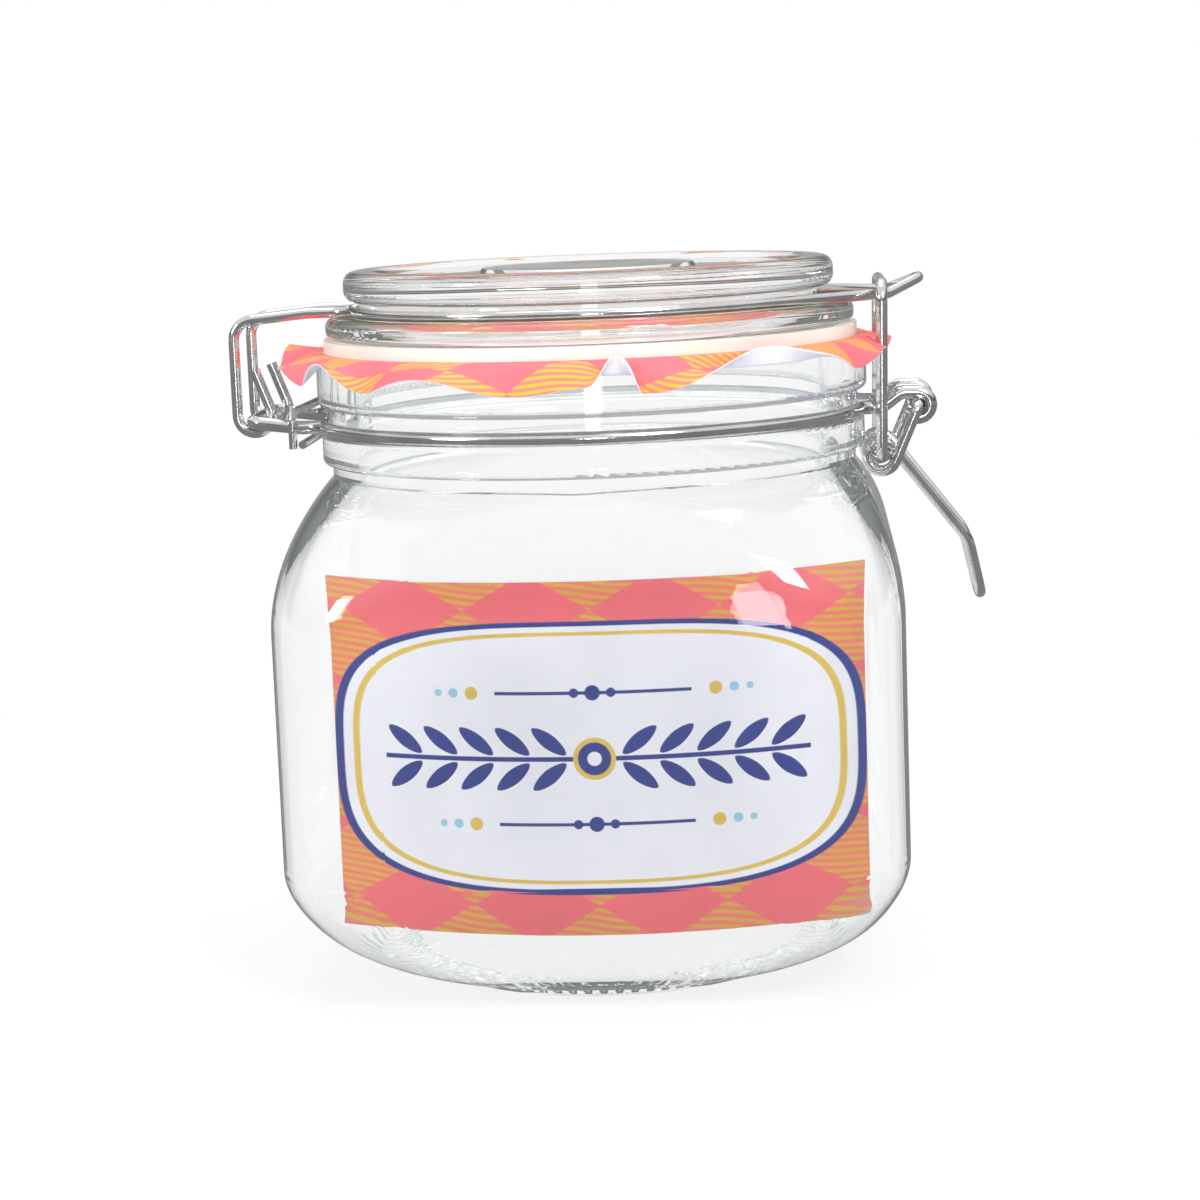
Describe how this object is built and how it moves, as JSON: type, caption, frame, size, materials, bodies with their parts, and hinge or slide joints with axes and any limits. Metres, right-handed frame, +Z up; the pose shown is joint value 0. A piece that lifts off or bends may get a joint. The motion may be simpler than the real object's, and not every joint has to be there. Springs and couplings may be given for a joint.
{
  "type": "clip-top glass canister",
  "caption": "Square-bodied clear glass canister with a hinged glass lid held by a wire bail and over-centre latch, rubber seal, ruffled paper cover and printed card.",
  "frame": {"origin": "middle of the base, on the plane it stands on", "axes": "+X towards the latch, -X towards the hinge, -Y towards the front face with the card, +Z up along the neck axis"},
  "size_m": [0.1337, 0.1098, 0.1255],
  "materials": {
    "jar_glass": "clear polished",
    "lid_glass": "clear polished",
    "seal": "matte",
    "printed_paper": "matte",
    "printed_card": "matte",
    "bail_wire": "bright",
    "neck_wire": "bright",
    "clip_wire": "bright",
    "lever_wire": "bright",
    "link_wire": "bright"
  },
  "bodies": {
    "jar": {"glass_jar": "jar_glass", "neck_wire": "neck_wire", "neck_clip": "clip_wire", "insert_card": "printed_card"},
    "lid": {"glass_lid": "lid_glass", "sealing_ring": "seal", "paper_cover": "printed_paper", "lid_bail": "bail_wire"},
    "lever": {"latch_lever": "lever_wire"},
    "link": {"latch_link": "link_wire"}
  },
  "joints": [
    {"name": "lid_swing", "type": "hinge", "parent": "jar", "child": "lid", "pos_m": [-0.06, 0, 0.0997], "axis": [0, -1, 0], "range_deg": [0, 185]},
    {"name": "lever_swing", "type": "hinge", "parent": "jar", "child": "lever", "pos_m": [0.058, 0, 0.0988], "axis": [0, -1, 0], "range_deg": [0, 150]},
    {"name": "link_swing", "type": "hinge", "parent": "lever", "child": "link", "pos_m": [0.05141, 0, 0.09045], "axis": [0, -1, 0], "range_deg": [-330, 0]}
  ],
  "couplings": [
    {"joint": "link_swing", "follows": "lever_swing", "ratio": -2.18}
  ]
}
